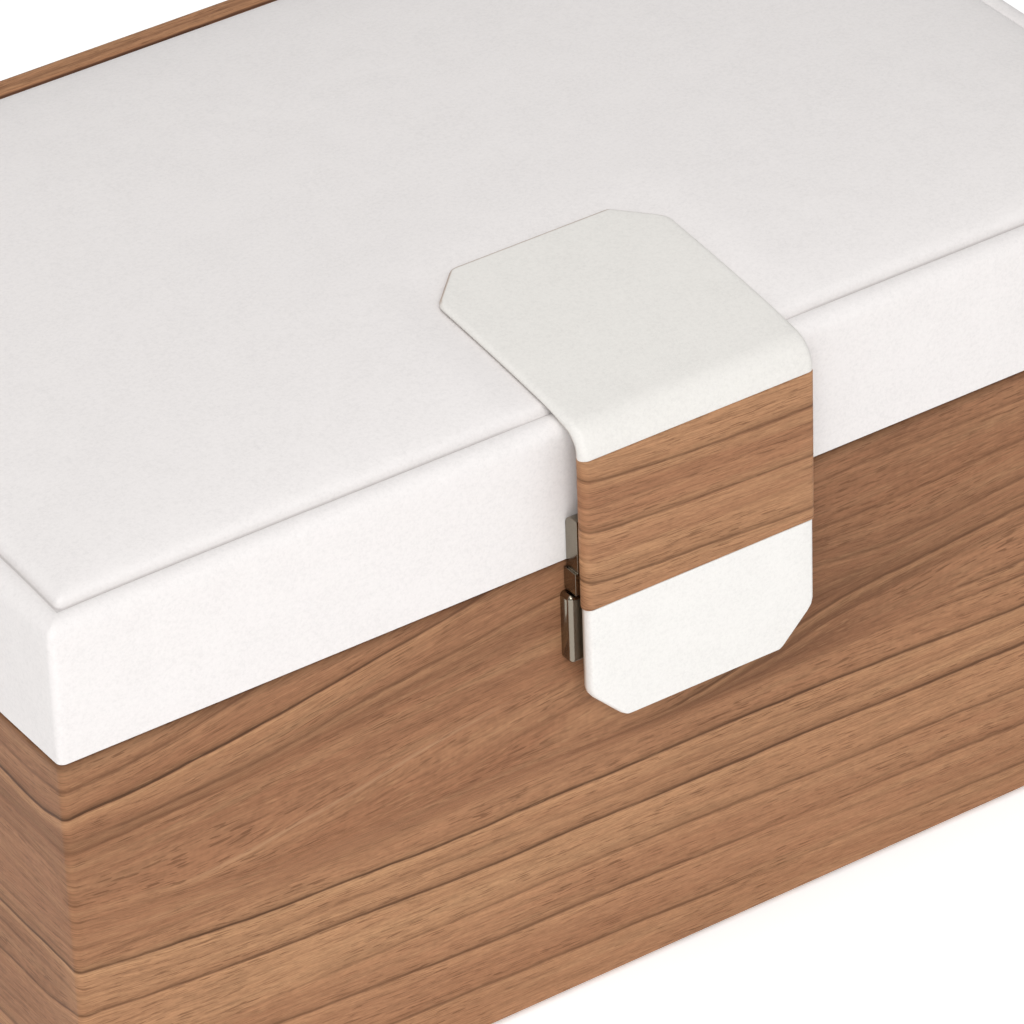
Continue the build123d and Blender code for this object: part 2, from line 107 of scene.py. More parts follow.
def tube(rings, closed=False):
    """Points and faces of a skin over rings of equal length: capped at both ends, or closed into a loop."""
    points = [p for ring in rings for p in ring]
    count, size = len(rings), len(rings[0])
    faces = []
    for i in range(count if closed else count - 1):
        a, b = i * size, (i + 1) % count * size
        for j in range(size):
            k = (j + 1) % size
            faces.append((a + j, a + k, b + k, b + j))
    if not closed:
        faces.append(tuple(range(size))[::-1])
        faces.append(tuple(range((count - 1) * size, count * size)))
    return points, faces


def grid_faces(rows):
    """Quads between neighbouring rows of point numbers."""
    return [(a[i], a[i + 1], b[i + 1], b[i]) for a, b in zip(rows, rows[1:]) for i in range(len(a) - 1)]


def rim_of(rows):
    """Point numbers round the outside of a grid."""
    return rows[0] + [row[-1] for row in rows[1:]] + rows[-1][-2::-1] + [row[0] for row in rows[-2:0:-1]]


def skirt(a, b):
    """Quads between two closed loops of point numbers."""
    return [(a[i], b[i], b[(i + 1) % len(a)], a[(i + 1) % len(a)]) for i in range(len(a))]


def grow(mesh, name, values):
    """Vector attribute on a mesh's points. Single values fill its first part."""
    values = np.asarray(values, np.float32)
    if values.ndim == 1:
        values = np.stack([values, values * 0, values * 0], 1)
    mesh.attributes.new(name, "FLOAT_VECTOR", "POINT").data.foreach_set("vector", values.ravel())


def smooth_step(value, low, high):
    t = min(max((value - low) / (high - low), 0.0), 1.0)
    return t * t * (3 - 2 * t)


def dressed(node, body, slot, width, steps=2, angle=30.0):
    """A rigid CAD node's own shape with softened edges, standing for the node."""
    made = linked(node + "_dressed", bpy.data.meshes.new(node))
    work = bmesh.new()
    work.from_mesh(frame["nodes"][node].data)
    bmesh.ops.remove_doubles(work, verts=work.verts, dist=1e-6)
    bmesh.ops.dissolve_limit(work, angle_limit=math.radians(1.0), verts=work.verts, edges=work.edges)
    edges = [e for e in work.edges if len(e.link_faces) == 2 and e.calc_face_angle(0.0) > math.radians(angle)]
    bmesh.ops.bevel(work, geom=edges, offset=width * MM, segments=steps, affect="EDGES", profile=0.6,
                    clamp_overlap=True)
    work.to_mesh(made.data)
    work.free()
    made.data.shade_smooth()
    made.data.set_sharp_from_angle(angle=math.radians(35.0))
    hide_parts(node)
    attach(made, body)
    paint(made, slot)


# ---------------------------------------------------------------- materials
FACE_LIGHT = (1.08, 1.12, 1.22)  # light that the upright faces send back for an albedo of one, gloss included


def srgb(*tone):
    """Linear albedo of an upright face that looks like this 8-bit colour in the picture."""
    def linear(value):
        value /= 255
        return value / 12.92 if value <= 0.04045 else ((value + 0.055) / 1.055) ** 2.4
    return tuple(linear(value) / light for value, light in zip(tone, FACE_LIGHT)) + (1.0,)


MATERIALS = {}


class Graph:
    """A procedural material: shader sockets by name, then nodes that drive some of them."""

    def __init__(self, name, **sockets):
        material = MATERIALS[name] = bpy.data.materials.new(name)
        material.use_nodes = True
        self.tree = material.node_tree
        self.shader = self.tree.nodes["Principled BSDF"]
        for key, value in sockets.items():
            self.shader.inputs[key.replace("_", " ")].default_value = value

    def node(self, kind, inputs=None, out=0, **settings):
        made = self.tree.nodes.new("ShaderNode" + kind)
        for key, value in settings.items():
            setattr(made, key, value)
        for key, value in (inputs or {}).items():
            self.feed(made.inputs[key], value)
        return made.outputs[out]

    def feed(self, socket, value):
        if isinstance(value, bpy.types.NodeSocket):
            self.tree.links.new(value, socket)
        else:
            socket.default_value = value

    def parts(self, vector):
        split = self.tree.nodes.new("ShaderNodeSeparateXYZ")
        self.feed(split.inputs[0], vector)
        return split.outputs

    def place(self, scale=(1.0, 1.0, 1.0)):
        """Object coordinates, stretched."""
        spot = self.node("TexCoord", out="Object")
        return self.node("VectorMath", {0: spot, 1: scale}, operation="MULTIPLY")

    def noise(self, vector, scale=1.0, detail=2.0, rough=0.5):
        return self.node("TexNoise", {"Vector": vector, "Scale": scale, "Detail": detail, "Roughness": rough})

    def maths(self, how, a, b=0.0, clamp=False):
        return self.node("Math", {0: a, 1: b}, operation=how, use_clamp=clamp)

    def times(self, a, b, clamp=False):
        return self.maths("MULTIPLY", a, b, clamp)

    def blend(self, a, share, b):
        """Sum of two values, the first in its share and the second in the rest."""
        return self.maths("ADD", self.times(a, share), self.times(b, 1 - share))

    def span(self, value, low, high, to_low=0.0, to_high=1.0):
        ends = {"From Min": low, "From Max": high, "To Min": to_low, "To Max": to_high}
        return self.node("MapRange", {"Value": value, **ends})

    def ramp(self, value, stops):
        made = self.tree.nodes.new("ShaderNodeValToRGB")
        points = made.color_ramp.elements
        while len(points) < len(stops):
            points.new(0.5)
        for point, (spot, colour) in zip(points, stops):
            point.position = spot
            point.color = colour if isinstance(colour, tuple) else (colour, colour, colour, 1.0)
        self.tree.links.new(value, made.inputs["Fac"])
        return made.outputs["Color"]

    def mix(self, factor, a, b, how="MIX"):
        made = self.tree.nodes.new("ShaderNodeMix")
        made.data_type, made.blend_type = "RGBA", how
        for index, value in ((0, factor), (6, a), (7, b)):
            self.feed(made.inputs[index], value)
        return made.outputs[2]

    def bump(self, height, distance, strength=1.0, normal=None):
        inputs = {"Height": height, "Distance": distance, "Strength": strength}
        if normal is not None:
            inputs["Normal"] = normal
        return self.node("Bump", inputs)

    def finish(self, colour=None, roughness=None, normal=None):
        for key, value in (("Base Color", colour), ("Roughness", roughness), ("Normal", normal)):
            if value is not None:
                self.feed(self.shader.inputs[key], value)


def walnut():
    """Printed walnut foil. The mesh gives where a point lies along and across the grain, its growth ring, the strength
    of the ring's line (pale where below zero), the width of the ring, how red and how light the wood is there, and
    how much painted shade it takes at a rim."""
    g = Graph("walnut_decor", Roughness=0.46, Specular_IOR_Level=0.08)
    grain = g.node("Attribute", out="Vector", attribute_name="grain")
    ring, line, wide = g.parts(g.node("Attribute", out="Vector", attribute_name="growth"))
    red, light, rim = g.parts(g.node("Attribute", out="Vector", attribute_name="tint"))
    ground = srgb(175, 132, 101)

    def streak(length, across, *settings):
        """Noise of a length and a width in metres, drawn out along the grain."""
        stretch = (1 / length, 1 / length, 1 / across)
        return g.noise(g.node("VectorMath", {0: grain, 1: stretch}, operation="MULTIPLY"), *settings)

    def lay(share, *tone):
        nonlocal ground
        ground = g.mix(share, ground, srgb(*tone))

    def shade(value, *stops):
        nonlocal ground
        ground = g.mix(1.0, ground, g.ramp(value, stops), "MULTIPLY")

    # where a point lies in its ring, in millimetres above the line below it and below the line above it
    drift = g.span(streak(0.030, 0.010), 0.25, 0.75, -0.32, 0.32)
    ripple = g.span(streak(0.0060, 0.004), 0.25, 0.75, -0.09, 0.09)
    ring = g.maths("ADD", ring, g.maths("DIVIDE", g.maths("ADD", drift, ripple), wide))
    above = g.times(g.maths("FRACT", ring), wide)
    below = g.maths("SUBTRACT", wide, above)

    # the ground: its tone by place, and broad patches
    lay(red, 163, 117, 90)
    lay(g.span(light, 0.0, 1.0), 190, 149, 114)
    lay(g.span(light, 0.0, -1.0), 138, 98, 74)
    lay(g.span(light, -0.7, -1.4), 106, 75, 56)
    lay(g.span(streak(0.060, 0.006, 1.0, 3.0, 0.55), 0.45, 0.75, 0.0, 0.50), 155, 109, 82)
    lay(g.span(streak(0.070, 0.0040, 1.3), 0.54, 0.80, 0.0, 0.45), 190, 150, 115)
    lay(g.span(streak(0.050, 0.0030, 1.7), 0.56, 0.80, 0.0, 0.35), 150, 118, 90)

    # a dark shade above each line and a pale one below it
    dark = g.maths("MAXIMUM", line, 0.0)
    lay(g.times(g.span(above, 0.0, 2.4, 0.28, 0.0), dark), 136, 99, 72)
    glow = g.times(g.span(below, 0.30, 2.4, 0.50, 0.0), g.span(below, 0.15, 0.45))
    lay(g.times(glow, dark), 193, 150, 114)

    # streaks, dashes, fibres and dust
    streaks = streak(0.016, 0.00060, 1.0, 3.0, 0.62)
    shade(streaks, (0.25, 0.82), (0.5, 1.0), (0.75, 1.11))
    dashes = g.span(streak(0.0120, 0.00023, 1.0, 3.0, 0.6), 0.565, 0.66)
    dashes = g.times(dashes, g.span(streak(0.040, 0.0060), 0.42, 0.62, 0.25, 1.0))
    lay(g.times(dashes, 0.45), 124, 85, 62)
    shade(streak(0.0034, 0.00015, 1.0, 2.0, 0.65), (0.25, 0.74), (0.5, 1.0), (0.78, 1.18))
    shade(streak(0.0009, 0.0005, 1.0, 1.0), (0.25, 0.93), (0.5, 1.0), (0.75, 1.06))

    # the lines: dark late wood with a soft upper side, or milky ones
    late = g.ramp(g.maths("DIVIDE", above, 4.0), ((0.0, 1.0), (0.06, 0.92), (0.10, 0.46), (0.18, 0.15), (0.42, 0.0)))
    late = g.maths("MAXIMUM", late, g.span(below, 0.0, 0.22, 1.0, 0.0))
    late = g.times(late, g.span(streak(0.022, 0.012), 0.30, 0.60, 0.75, 1.0))
    lay(g.times(late, dark, True), 86, 59, 42)
    beside = g.maths("MAXIMUM", g.span(above, 0.0, 0.7, 1.0, 0.0), g.span(below, 0.0, 0.5, 1.0, 0.0))
    lay(g.times(beside, g.maths("MAXIMUM", g.times(line, -1.0), 0.0)), 186, 148, 118)

    # pores and pale flecks, in places of their own, and painted shade at the rim
    where = streak(0.022, 0.0035)
    pores = g.times(g.span(streak(0.0042, 0.00019, 1.0, 1.0), 0.60, 0.64), g.span(where, 0.40, 0.58, 0.35, 1.0))
    lay(g.times(pores, 0.62), 104, 71, 51)
    flecks = g.times(g.span(streak(0.0046, 0.00024, 1.1, 1.0), 0.61, 0.68), g.span(where, 0.60, 0.42, 0.2, 1.0))
    lay(g.times(flecks, 0.24), 198, 157, 120)
    # painted shade at a rim: under the lid's seam on the base, and along the rail's lower front edge
    lay(g.times(rim, 0.45), 86, 58, 46)
    height = g.maths("SUBTRACT", g.times(streaks, 0.5), pores)
    g.finish(ground, g.span(streaks, 0.3, 0.7, 0.52, 0.44), g.bump(height, 0.00003, 0.5))


def leatherette(name, colour, pebble, roughness, mark, mark_colour):
    """Fine-grained coated fabric: shallow pebbles, a trace of the woven back and slow unevenness. The mesh attribute
    named by mark says where its colour turns: at a cut edge to the brown core with painted contact shade, and deep in
    the groove to painted shade."""
    g = Graph(name, Roughness=roughness, Specular_IOR_Level=0.42)
    spot = g.place()
    cells = g.tree.nodes.new("ShaderNodeTexVoronoi")
    cells.feature = "SMOOTH_F1"
    g.feed(cells.inputs["Vector"], g.mix(0.35, spot, g.noise(spot, 700.0, 1.0)))
    g.feed(cells.inputs["Scale"], 1500.0)
    fine = g.noise(spot, 3200.0, 2.0, 0.6)
    slow = g.noise(spot, 45.0, 2.0, 0.5)
    cloudy = g.noise(spot, 160.0, 3.0, 0.6)
    grains = g.noise(spot, 1500.0, 2.0, 0.6)
    # colour mottle: partly uneven tone, partly painted shade of the fine grain, whose noise also drives the bump
    mottle_and_grain_shade = g.maths("ADD", g.times(cloudy, 0.2), g.maths("ADD", g.times(grains, 0.45), g.times(fine, 0.35)))
    tint = g.ramp(mottle_and_grain_shade, [(stop, (*(c * level for c in colour), 1.0))
                           for stop, level in ((0.30, 0.915), (0.50, 1.0), (0.70, 1.05))])
    height = g.blend(cells.outputs["Distance"], pebble, fine)
    normal = g.bump(slow, 0.00030, 0.45)
    normal = g.bump(height, 0.00006, 0.50, normal)
    marked = g.parts(g.node("Attribute", out="Vector", attribute_name=mark))[0]
    # the marked attribute brings in painted shade deep in the groove on the white leatherette, and the brown core with
    # painted contact shade on the strap's cut edges
    tint = g.mix(g.span(marked, 0.1, 0.9, 0.0, 0.85), tint, (*mark_colour, 1.0))
    g.finish(tint, g.span(fine, 0.3, 0.7, roughness - 0.04, roughness + 0.05), normal)


def pile(name, dark, pale, scale, depth, sheen):
    """Velour or felt: short fibres with a soft bloom and brushed patches."""
    g = Graph(name, Roughness=0.95, Sheen_Weight=sheen, Sheen_Roughness=0.45, Specular_IOR_Level=0.15)
    spot = g.place()
    fibres = g.noise(spot, scale, 3.0, 0.7)
    brushed = g.noise(spot, 42.0, 3.0, 0.6)
    colour = g.mix(g.span(g.blend(fibres, 0.55, brushed), 0.32, 0.68), (*dark, 1.0), (*pale, 1.0))
    g.finish(colour, g.span(brushed, 0.3, 0.7, 0.88, 1.0), g.bump(fibres, depth, 0.7))


def metal(name, colour, stretch):
    """Satin plate with fine lines along X and slow patches in its gloss."""
    g = Graph(name, Metallic=1.0, Roughness=0.20)
    lines = g.noise(g.place(stretch), 1.0, 2.0, 0.6)
    slow = g.noise(g.place(), 260.0, 2.0)
    tint = g.mix(g.span(slow, 0.3, 0.7), (*(c * 0.93 for c in colour), 1.0), (*colour, 1.0))
    g.finish(tint, g.span(lines, 0.3, 0.7, 0.17, 0.25), g.bump(lines, 0.000008, 0.12))


def board(name, dark, pale, scale):
    """Pressed board: small flecks over a cloudy ground."""
    g = Graph(name, Roughness=0.85, Specular_IOR_Level=0.25)
    flecks = g.noise(g.place(), scale, 4.0, 0.75)
    colour = g.mix(g.span(flecks, 0.35, 0.65), (*dark, 1.0), (*pale, 1.0))
    g.finish(colour, g.span(flecks, 0.3, 0.7, 0.80, 0.95), g.bump(flecks, 0.00006, 0.5))


walnut()
# the last colour of each leatherette is painted: shade in the groove for the white one, brown core with contact shade
# on the strap's cut edges
leatherette("white_leatherette", (0.797, 0.764, 0.751), 0.5, 0.52, PAINTED_GROOVE_SHADE, (0.56, 0.53, 0.52))
leatherette("strap_leatherette", (0.750, 0.728, 0.692), 0.3, 0.50, CORE_AND_CONTACT_SHADE, (0.42, 0.31, 0.24))
leatherette("strap_end_leatherette", (0.805, 0.788, 0.760), 0.3, 0.50, CORE_AND_CONTACT_SHADE, (0.42, 0.31, 0.22))
pile("cream_velour", (0.56, 0.48, 0.36), (0.72, 0.64, 0.51), 2600.0, 0.00018, 0.5)
pile("brown_felt", (0.030, 0.020, 0.014), (0.075, 0.052, 0.038), 1700.0, 0.0003, 0.25)
metal("nickel", (0.27, 0.238, 0.190), (60.0, 1500.0, 1500.0))
metal("steel_pin", (0.60, 0.59, 0.58), (220.0, 3000.0, 3000.0))
board("fibreboard", (0.33, 0.21, 0.11), (0.50, 0.35, 0.20), 900.0)


def paint(obj, slot):
    obj.data.materials.clear()
    obj.data.materials.append(MATERIALS[slot])


# ---------------------------------------------------------------- walnut figure
def growth_lines(table):
    """Growth lines from below upwards, parted by semicolons. Slashes part a line's height by place, its strength by
    place (pale where below zero), and how red and how light the wood above it is by place. Place is the distance
    along the outline from the middle of the front, positive to the right."""
    return [[[tuple(float(value) for value in spot.split()) for spot in column.split(",")] for column in row.split("/")]
            for row in table.split(";")]


PERIMETER = 2 * (WIDTH + DEPTH) - 8 * CORNER + 2 * math.pi * CORNER
# the foil round the box
LINES = growth_lines("""
    -200 -6, 0 -5, 200 -7 / 0 .3 / 0 .35 .05;
    -250 12, -120 12, -57 9.9, -20 8.7, 10 7.9, 68 6.1, 150 8, 250 10 / -60 .6, 0 .7, 14 .25, 35 .25, 52 .55 /
      0 .55 .05;
    -250 22, -120 22, -78 19.7, -50 18, -30 17.3, 0 16.5, 40 15.4, 68 14.2, 150 16, 250 20 / -80 .6, 0 .75, 14 .25,
      28 .25, 42 .6 / -137 .45 -.5, -113 .45 .05;
    -250 27, -137 24.9, -100 26, -82 25, -30 24.6, 0 23.9, 30 23, 68 21.9, 150 24, 250 26 / -100 .15, -60 .4, 0 .6 /
      -150 .3 -.7, -118 .3 -.4, -111 .2 .2, -60 .2 .25, 60 .3 .15;
    -250 36, -190 35, -135 35.6, -122 35.3, -117 36.2, -112 37.5, -105 36.4, -90 35.2, -60 33.6, -40 32.6, 0 32.2,
      30 31.4, 68 30.7, 150 33, 250 32 / -137 .7, -60 .9, 60 .95 / -150 .2 -.85, -118 .2 -.6, -111 .05 .05,
      -60 .05 .1, -20 .05 -.05, 5 .05 -.3, 35 .1 -.15, 66 .1 -.05;
    -250 40, -190 40, -137 42.1, -113 41.3, -100 39.6, -80 38.2, -60 37.3, -30 36.4, 0 35.8, 60 34.8, 150 36.5,
      250 35.5 / -137 .4, -100 .25, 20 .3 / -150 .2 -.8, -118 .2 -.5, -111 .1 .15, -60 .1 .25, -20 .1 .0, 5 .15 -.3,
      35 .2 -.1, 66 .2 .05;
    -250 45, -190 44.5, -137 46, -122 45.9, -112 45.5, -100 43.7, -80 41.9, -60 41, -40 40.5, 0 40.6, 20 40.2,
      40 39.6, 68 38.5, 150 41, 250 38.5 / 0 1.0 / -150 .35 -.9, -118 .35 -.7, -111 .35 -.15, -60 .35 -.1,
      -20 .35 -.2, 5 .35 -.4, 30 .3 -.25, 60 .25 -.05;
    -250 48, -190 47, -137 47.3, -113 47.4, -80 46.8, -60 46.2, 0 46, 50 45.4, 68 44.8, 150 46, 250 42 / -137 .4,
      -110 .15, 52 .12, 62 .55 / -100 .6 -.3, -20 .6 -.35, 8 .7 -1.0, 35 .6 -.75, 60 .5 -.2;
    -250 50, -190 49, -137 49.2, -120 49.4, -113 50, -100 48.8, -80 47.6, -33 46.9, 0 46.5, 20 47, 68 47.7, 150 48.5,
      250 45 / -137 .45, -110 .2, -95 .0, 48 .0, 60 .55 / -100 .7 -.35, -20 .8 -.4, 8 .8 -1.1, 35 .7 -.85, 60 .5 -.35;
    -250 52.5, -190 51.5, -113 52, -100 50.4, -80 48.6, -33 47.7, -5 46.9, 5 47.3, 20 49.6, 30 52.2, 68 55.2, 150 54,
      250 49 / -5 .0, 8 .3, 24 .35, 40 .1 / -100 .7 -.3, -60 .8 -.45, -5 .6 -1.0, 25 .6 -1.2, 45 .8 -1.0, 66 .6 -.65,
      90 .6 -.4;
    -250 55, -190 54.5, -113 54.2, -100 52.2, -80 49.6, -33 48.8, -5 47.5, 5 48.8, 10 49.9, 25 54.1, 35 55.8, 50 56.8,
      68 58.3, 150 59, 250 53 / -12 .0, -4 .5, 3 .85, 12 .7, 60 .7, 110 .3 / -100 .7 -.25, -70 .9 -.6, -40 .9 -.65,
      -20 .8 -.5, 30 .5 -1.1, 66 .5 -.7;
    -250 58.5, -190 58, -137 56, -113 55, -100 53, -80 51.2, -60 51.6, -40 53.2, -31 54.8, -5 58, 20 59.8, 40 59,
      68 60.6, 150 62, 250 56 / -60 .15, 0 .2 / -60 .75 -.35, 30 .6 -.9, 66 .6 -.6;
    -250 62, -190 61, -137 59, -113 57, -92 54.2, -80 54.9, -60 57.9, -50 59.8, -39 61.4, -10 63, 20 62.3, 40 60.4,
      68 62.3, 150 64, 250 58 / -95 .0, -85 -.5, -45 -.6, -30 .0 / -60 .65 -.35, 30 .6 -.85, 66 .6 -.6;
    -250 66, -190 66, -137 64, -100 62, -60 63.5, -39 65, -10 66, 20 64.6, 40 61.9, 50 62.3, 68 64, 150 66, 250 60 /
      -137 .3, -100 .0, 20 .2, 42 .5 / -120 .7 -.65, -60 .75 -.55, 30 .6 -.85, 66 .55 -.7;
    -250 71, -190 70, -137 67.8, -113 67.6, -100 68, -82 68.8, -60 70, -31 72, 0 72.3, 20 70.6, 40 70.3, 50 70.7,
      68 71.6, 150 72, 250 67 / -110 .15, -98 .5, -84 .45, -74 .1, -20 .0, 25 .4 / -110 .8 -.9, -60 .85 -.8,
      40 .6 -.75, 66 .6 -.6;
    -250 75, -190 73.5, -137 70.3, -100 69.9, -80 71, -70 72.2, -60 74, -40 76.3, -25 78.2, 0 79.5, 68 79.5, 150 78,
      250 74 / -113 .2, -100 .4, -60 .55, -25 .5, 10 .3 / -80 .6 -.6, -20 .6 -.5, 40 .6 -.8, 66 .6 -.5;
    -250 80, -190 77, -132 73.9, -122 72.9, -116 73.3, -112 74.8, -100 74.9, -90 75.9, -70 78.5, -50 81.8, -40 83.4,
      -20 86, 68 88, 150 85, 250 82 / -90 1.5, -50 .8, 60 .8 / -100 .7 -.6, -60 .65 -.4, -40 .6 -.35, 60 .6 -.7;
    -250 86, -190 83, -132 79, -122 78.6, -113 79.6, -105 79.8, -98 80.3, -90 81.6, -80 83.8, -60 86, -40 88, -20 91,
      68 93, 150 91, 250 89 / -137 .3, -110 .55, -90 .5, -70 .3 / 0 .7 -.55;
    -200 98, 0 101, 200 99 / 0 .3 / 0 .6 -.5
""")


def periodic(table, spread=7):
    """Columns of the table as smooth closed curves, one value for each millimetre round the box."""
    places = np.arange(0.0, PERIMETER, 1.0)
    spots = [row[0] for row in table]
    curves = []
    for column in range(1, len(table[0])):
        values = np.interp(places, spots, [row[column] for row in table], period=PERIMETER)
        curves.append(sum(np.roll(values, shift) for shift in range(-spread // 2, spread // 2 + 1)) / (spread + 1))
    return curves


class Figure:
    """Growth lines over a face: height, strength and ground of each line by place."""

    def __init__(self, lines):
        self.heights = np.array([periodic(heights)[0] for heights, _, _ in lines])
        self.strengths = np.array([periodic(strengths)[0] for _, strengths, _ in lines])
        grounds = [periodic(ground) for _, _, ground in lines]
        self.red = np.array([g[0] for g in grounds])
        self.light = np.array([g[1] for g in grounds])
        self.flat = self.heights.mean(axis=1)

    def at(self, place, z):
        """Place across the grain, then the vectors growth and tint."""
        spot = place % PERIMETER
        column = int(spot) % self.heights.shape[1]
        after, t = (column + 1) % self.heights.shape[1], spot - int(spot)
        heights = self.heights[:, column] * (1 - t) + self.heights[:, after] * t
        gaps = np.maximum(np.diff(heights), 0.25)
        heights = heights[0] + np.concatenate([[0.0], np.cumsum(gaps)])
        k = int(np.clip(np.searchsorted(heights, z, side="right") - 1, 0, len(gaps) - 1))
        u = (z - heights[k]) / gaps[k]
        slopes = [1 / gaps[k], 1 / gaps[k]]
        if k > 0:
            slopes[0] = 2 / (gaps[k] + gaps[k - 1])
        if k < len(gaps) - 1:
            slopes[1] = 2 / (gaps[k] + gaps[k + 1])
        a, b = slopes[0] * gaps[k], slopes[1] * gaps[k]
        part = u * u * (3 - 2 * u) + a * u * (1 - u) ** 2 - b * u * u * (1 - u)
        slope = (6 * u * (1 - u) + a * (1 - u) * (1 - 3 * u) - b * u * (2 - 3 * u)) / gaps[k]
        near = k if part < 0.5 else k + 1
        across = self.flat[k] + (self.flat[k + 1] - self.flat[k]) * part
        growth = (k + part + 2.0, self.strengths[near, column], 1 / max(slope, 0.04))
        return across, growth, (self.red[k, column], self.light[k, column])


def figured(obj, figure, spots, offset=(0.0, 0.0), rim_shade=None):
    """Write the figure onto a mesh: one (place, height on the face) for each point. The foil takes painted shade by
    rim_shade.
    """
    grain, growth, tint = [], [], []
    for vertex, (place, z) in zip(obj.data.vertices, spots):
        across, ring, tone = figure.at(place, z)
        grain.append((vertex.co.x + offset[0], vertex.co.y, across * MM + offset[1]))
        growth.append(ring)
        tint.append((*tone, rim_shade(z) if rim_shade else 0.0))
    for name, values in (("grain", grain), ("growth", growth), ("tint", tint)):
        grow(obj.data, name, values)


# ---------------------------------------------------------------- round the box
def stations(step=2.0, breaks=()):
    """Points of the box's outline as (x, y, normal x, normal y, place), from the middle of the back round the left,
    front and right sides to the back again. Place is measured along the outline from the middle of the front."""
    half_x, half_y, r = WIDTH / 2, DEPTH / 2, CORNER
    sides = [((0, half_y), (-half_x + r, half_y)), ((-half_x, half_y - r), (-half_x, -half_y + r)),
             ((-half_x + r, -half_y), (half_x - r, -half_y)), ((half_x, -half_y + r), (half_x, half_y - r)),
             ((half_x - r, half_y), (0, half_y))]
    centres = [(a * (half_x - r), b * (half_y - r)) for a, b in ((-1, 1), (-1, -1), (1, -1), (1, 1))]
    found = []
    for index, (a, b) in enumerate(sides):
        length = math.dist(a, b)
        cuts = list(np.linspace(0, 1, max(2, round(length / step)) + 1))
        if a[0] == b[0]:
            cuts += [(y - a[1]) / (b[1] - a[1]) for y in breaks if min(a[1], b[1]) < y < max(a[1], b[1])]
        normal = ((b[1] - a[1]) / length, (a[0] - b[0]) / length)
        found += [(a[0] + (b[0] - a[0]) * t, a[1] + (b[1] - a[1]) * t, *normal) for t in sorted(cuts)]
        if index < 4:
            for turn in np.linspace(90 + 90 * index, 180 + 90 * index, 9)[1:-1]:
                nx, ny = math.cos(math.radians(turn)), math.sin(math.radians(turn))
                found.append((centres[index][0] + r * nx, centres[index][1] + r * ny, nx, ny))
    place, out = -PERIMETER / 2, []
    for i, (x, y, nx, ny) in enumerate(found):
        if i:
            place += math.dist((x, y), found[i - 1][:2])
        out.append((x, y, nx, ny, place))
    return out


def ring_at(station, section):
    """Section points (depth behind the face, height) set round the box at a station."""
    x, y, nx, ny, _ = station
    ring = []
    for depth, z in section:
        limit_x, limit_y = WIDTH / 2 - depth, DEPTH / 2 - depth
        px, py = x - nx * depth, y - ny * depth
        if depth > CORNER and abs(nx) > 1e-6 and abs(ny) > 1e-6:
            px, py = math.copysign(limit_x, x), math.copysign(limit_y, y)
        ring.append((min(max(px, -limit_x), limit_x), min(max(py, -limit_y), limit_y), z))
    return ring


def quarter(radius, steps=4):
    """Fractions of a rounded edge: how far in, and how far short of the edge's height."""
    return [(radius - radius * math.sin(t), radius - radius * math.cos(t))
            for t in np.linspace(0, math.pi / 2, steps + 1)]


def make_base_wrap():
    """Foil round the carcass, turned in under the bottom and over the rim. Section points are (depth, height)."""
    foot, rim, under, over = 0.30, 0.75, 4.0, 5.6
    section = [(under, WRAP_Z), (2.2, WRAP_Z)] + [(depth, WRAP_Z + rise) for depth, rise in quarter(foot)]
    section += [(0.0, z) for z in np.linspace(WRAP_Z + foot, RIM_Z - rim, 133)[1:-1]]
    section += [(depth, RIM_Z - rise) for depth, rise in quarter(rim)[::-1]]
    section += [(2.0, RIM_Z), (3.8, RIM_Z), (over, RIM_Z), (over, RIM_Z - SKIN), (SKIN, RIM_Z - SKIN),
                (SKIN, WRAP_Z + SKIN), (under, WRAP_Z + SKIN)]
    around = stations(2.5)
    points, faces = tube([ring_at(s, section) for s in around], closed=True)
    made = piece("base_wrap", points, faces, "base", "walnut_decor", ["base_walnut_wrap"])
    # painted shade on the foil just below the lid's seam
    figured(made, Figure(LINES), [(station[4], z + (depth if z > RIM_Z - 1 and depth > rim else 0.0))
                                  for station in around for depth, z in section],
            rim_shade=lambda z: smooth_step(z, RIM_Z - 1.9, RIM_Z - 0.3))


def lid_section():
    """Section of the lid's skin: lower edge, face, rounded top edge, and the border that dips towards the pad."""
    soft, inner, lining_z = 0.18, 5.2, BORDER_Z - 1.3
    section = [(TURN_IN, LID_Z), (2.4, LID_Z)] + [(depth, LID_Z + rise) for depth, rise in quarter(soft)]
    section += [(0.0, z) for z in np.linspace(LID_Z + soft, BORDER_Z - LID_EDGE, 10)[1:]]
    section += [(LID_EDGE * (1 - math.cos(a)), BORDER_Z - LID_EDGE * (1 - math.sin(a)))
                for a in np.linspace(0, math.pi / 2, 11)[1:-1]]
    section += [(depth, BORDER_Z - drop) for depth, drop in (
        (LID_EDGE, 0.01), (2.8, 0.04), (3.0, 0.10), (3.2, 0.20), (3.4, 0.33), (3.6, 0.46), (3.75, 0.53), (inner, 0.55))]
    return section + [(inner, lining_z), (SKIN + LID_EDGE, lining_z), (SKIN, BORDER_Z - LID_EDGE - 0.6),
                      (SKIN, LID_Z + SKIN), (TURN_IN, LID_Z + SKIN)]


def pull_in(x, y):
    """How far the pad's front and its sides draw in between its corners, by the place on them."""
    return [amount * (1 - min(share, 1.0) ** power)
            for amount, power, share in zip((0.40, 0.95), (10, 4), pad_fall(x, y))]


